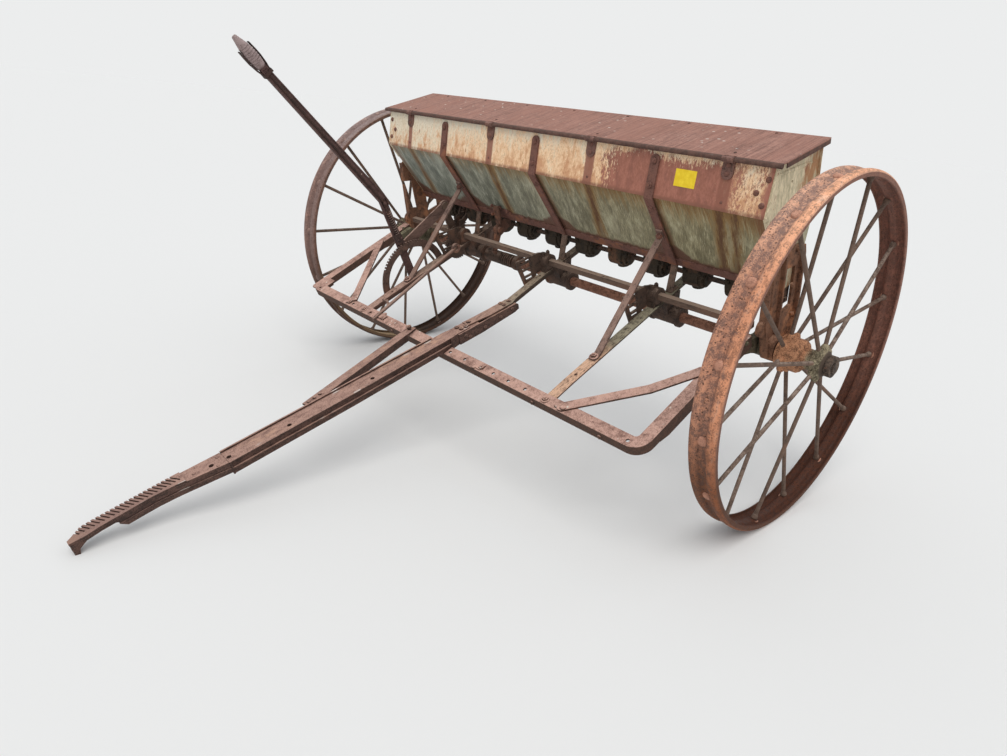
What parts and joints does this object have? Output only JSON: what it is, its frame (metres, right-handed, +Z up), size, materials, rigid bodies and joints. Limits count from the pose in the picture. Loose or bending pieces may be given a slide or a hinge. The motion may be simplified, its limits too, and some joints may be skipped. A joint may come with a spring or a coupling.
{
  "type": "seed drill",
  "caption": "Weathered two-wheeled seed drill with a long V-shaped seed box, spoked steel wheels, a lift lever and a tongue resting on the ground.",
  "frame": {"origin": "centre of the bounding box's base, on the ground under the parked machine", "axes": "+X forward along the tongue, +Y towards the machine's left wheel, +Z up"},
  "size_m": [2.559, 2.408, 1.4137],
  "materials": {
    "rusted_iron": "rusted",
    "frame_angle": "rusted",
    "tongue_steel": "rusted",
    "galvanised_sheet": "weathered",
    "painted_band": "weathered",
    "lid_sheet": "rusted",
    "sticker": "matte",
    "cast_iron": "rusted",
    "lever_iron": "rusted",
    "wheel_rim": "rusted",
    "wheel_spoke": "rusted",
    "wheel_hub": "weathered"
  },
  "bodies": {
    "frame": {"axle": "rusted_iron", "axle_sleeves": "rusted_iron", "front_bar": "frame_angle", "side_bar_left": "frame_angle", "side_bar_right": "frame_angle", "sill_left": "frame_angle", "sill_middle": "frame_angle", "sill_right": "frame_angle", "diagonal_left": "frame_angle", "diagonal_right": "frame_angle", "strut_left": "frame_angle", "strut_right": "frame_angle", "posts": "rusted_iron", "straps": "rusted_iron", "hopper_shell": "galvanised_sheet", "hopper_band": "painted_band", "hopper_ends": "galvanised_sheet", "box_rail": "rusted_iron", "lid_hinges": "rusted_iron", "sticker": "sticker", "end_castings": "cast_iron", "axle_brackets": "cast_iron", "rock_bearings": "cast_iron", "feed_cups": "cast_iron", "feed_shaft": "cast_iron", "drive_gears": "cast_iron", "rate_lever": "rusted_iron", "quadrant": "cast_iron", "pull_rod": "rusted_iron", "tongue_beam": "tongue_steel", "tongue_head": "tongue_steel", "tongue_comb": "tongue_steel", "tongue_channel": "tongue_steel", "tongue_brace": "tongue_steel"},
    "lid": {"lid": "lid_sheet"},
    "lever": {"hand_lever": "lever_iron", "lever_latch": "lever_iron"},
    "link": {"lift_link": "frame_angle"},
    "rock": {"rock_shaft": "rusted_iron"},
    "wheel_left": {"left_rim": "wheel_rim", "left_spokes": "wheel_spoke", "left_hub": "wheel_hub"},
    "wheel_right": {"right_rim": "wheel_rim", "right_spokes": "wheel_spoke", "right_hub": "wheel_hub"}
  },
  "joints": [
    {"name": "lid_hinge", "type": "hinge", "parent": "frame", "child": "lid", "pos_m": [-0.40816, 0, 1.20144], "axis": [0, 1, 0], "range_deg": [0, 100]},
    {"name": "lever_pivot", "type": "hinge", "parent": "frame", "child": "lever", "pos_m": [-0.31413, -0.592, 0.50344], "axis": [0, 1, 0], "range_deg": [-30, 22]},
    {"name": "link_pivot", "type": "hinge", "parent": "lever", "child": "link", "pos_m": [-0.26225, -0.61, 0.64235], "axis": [0, 1, 0], "range_deg": [-25, 34]},
    {"name": "rock_shaft_turn", "type": "hinge", "parent": "frame", "child": "rock", "pos_m": [-0.5662, 0, 0.69135], "axis": [0, 1, 0], "range_deg": [-28.5, 21]},
    {"name": "wheel_left_spin", "type": "hinge", "parent": "frame", "child": "wheel_left", "pos_m": [-0.6695, 1.109, 0.61], "axis": [0, 1, 0], "continuous": true},
    {"name": "wheel_right_spin", "type": "hinge", "parent": "frame", "child": "wheel_right", "pos_m": [-0.6695, -1.109, 0.61], "axis": [0, 1, 0], "continuous": true}
  ],
  "couplings": [
    {"joint": "rock_shaft_turn", "follows": "lever_pivot", "ratio": 0.929},
    {"joint": "link_pivot", "follows": "lever_pivot", "ratio": -1.114}
  ]
}
